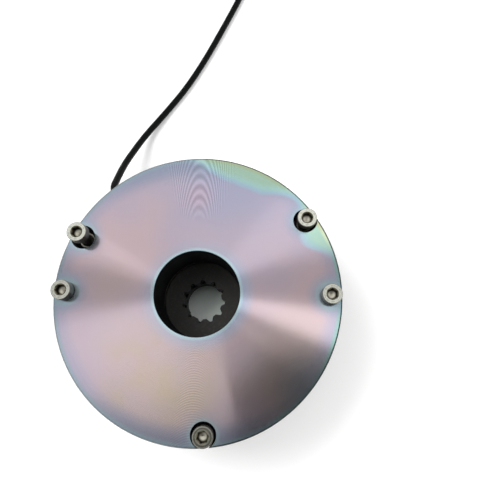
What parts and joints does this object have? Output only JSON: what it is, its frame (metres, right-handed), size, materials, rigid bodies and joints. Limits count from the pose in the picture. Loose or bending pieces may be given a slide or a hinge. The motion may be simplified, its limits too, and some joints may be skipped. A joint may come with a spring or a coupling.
{
  "type": "spring-applied electromagnetic motor brake",
  "caption": "Round spring-applied motor brake with a steel magnet body, a splined friction rotor, socket-head mounting and release screws, and a black lead.",
  "frame": {"origin": "on the shaft axis in the motor face", "axes": "+Z along the shaft away from the motor, towards the screw heads; +X towards the right release screw"},
  "size_m": [0.15, 0.3531, 0.066],
  "materials": {
    "stator_steel": "face-turned bare steel with temper tints",
    "plate_steel": "ground bare steel",
    "hub_steel": "black oxide",
    "carrier_steel": "phosphated steel sheet",
    "rivet_steel": "plain steel",
    "friction_lining": "moulded friction material",
    "screw_steel": "stainless, knurled head",
    "sleeve_steel": "zinc-plated steel",
    "spring_steel": "oiled spring steel",
    "winding_copper": "enamelled copper wire",
    "bobbin_plastic": "glass-filled plastic",
    "potting_resin": "cast resin",
    "grommet_rubber": "moulded rubber",
    "lead_jacket": "black jacket",
    "tie_plastic": "moulded plastic",
    "connector_plastic": "moulded plastic",
    "contact_metal": "tinned brass"
  },
  "bodies": {
    "housing": {"flange_plate": "plate_steel", "magnet_body": "stator_steel", "coil_bobbin": "bobbin_plastic", "coil_winding": "winding_copper", "coil_potting": "potting_resin", "clamp_springs_inner": "spring_steel", "clamp_springs_outer": "spring_steel", "spacer_sleeve_top_right": "sleeve_steel", "spacer_sleeve_top_left": "sleeve_steel", "spacer_sleeve_bottom": "sleeve_steel", "cable_grommet": "grommet_rubber", "inner_lead": "lead_jacket", "lead_cable": "lead_jacket", "lead_tail": "lead_jacket", "cable_coil": "lead_jacket", "cable_tie": "tie_plastic", "plug_boot": "connector_plastic", "plug_housing": "connector_plastic", "plug_contacts": "contact_metal"},
    "armature": {"armature_plate": "plate_steel"},
    "rotor": {"rotor_hub": "hub_steel", "rotor_carrier": "carrier_steel", "rotor_rivets": "rivet_steel", "lining_upper": "friction_lining", "lining_lower": "friction_lining"},
    "screw_top_right": {"mounting_screw_top_right": "screw_steel"},
    "screw_top_left": {"mounting_screw_top_left": "screw_steel"},
    "screw_bottom": {"mounting_screw_bottom": "screw_steel"},
    "release_left": {"release_screw_left": "screw_steel"},
    "release_right": {"release_screw_right": "screw_steel"}
  },
  "joints": [
    {"name": "armature_pull", "type": "slide", "parent": "housing", "child": "armature", "axis": [0, 0, 1], "range_m": [0, 0.0003], "stiffness_N_per_m": 10000, "springref_m": -0.003, "deforming": ["clamp_springs_inner", "clamp_springs_outer"]},
    {"name": "rotor_turn", "type": "hinge", "parent": "housing", "child": "rotor", "pos_m": [0, 0, 0.0142], "axis": [0, 0, 1], "continuous": true},
    {"name": "mounting_screw_top_right_travel", "type": "slide", "parent": "housing", "child": "screw_top_right", "axis": [0, 0, 1], "range_m": [-0.0071, 0.04]},
    {"name": "mounting_screw_top_left_travel", "type": "slide", "parent": "housing", "child": "screw_top_left", "axis": [0, 0, 1], "range_m": [-0.0121, 0.035]},
    {"name": "mounting_screw_bottom_travel", "type": "slide", "parent": "housing", "child": "screw_bottom", "axis": [0, 0, 1], "range_m": [-0.0071, 0.04]},
    {"name": "release_screw_left_travel", "type": "slide", "parent": "armature", "child": "release_left", "axis": [0, 0, 1], "range_m": [-0.0005, 0.0045]},
    {"name": "release_screw_right_travel", "type": "slide", "parent": "armature", "child": "release_right", "axis": [0, 0, 1], "range_m": [-0.0005, 0.0045]}
  ]
}
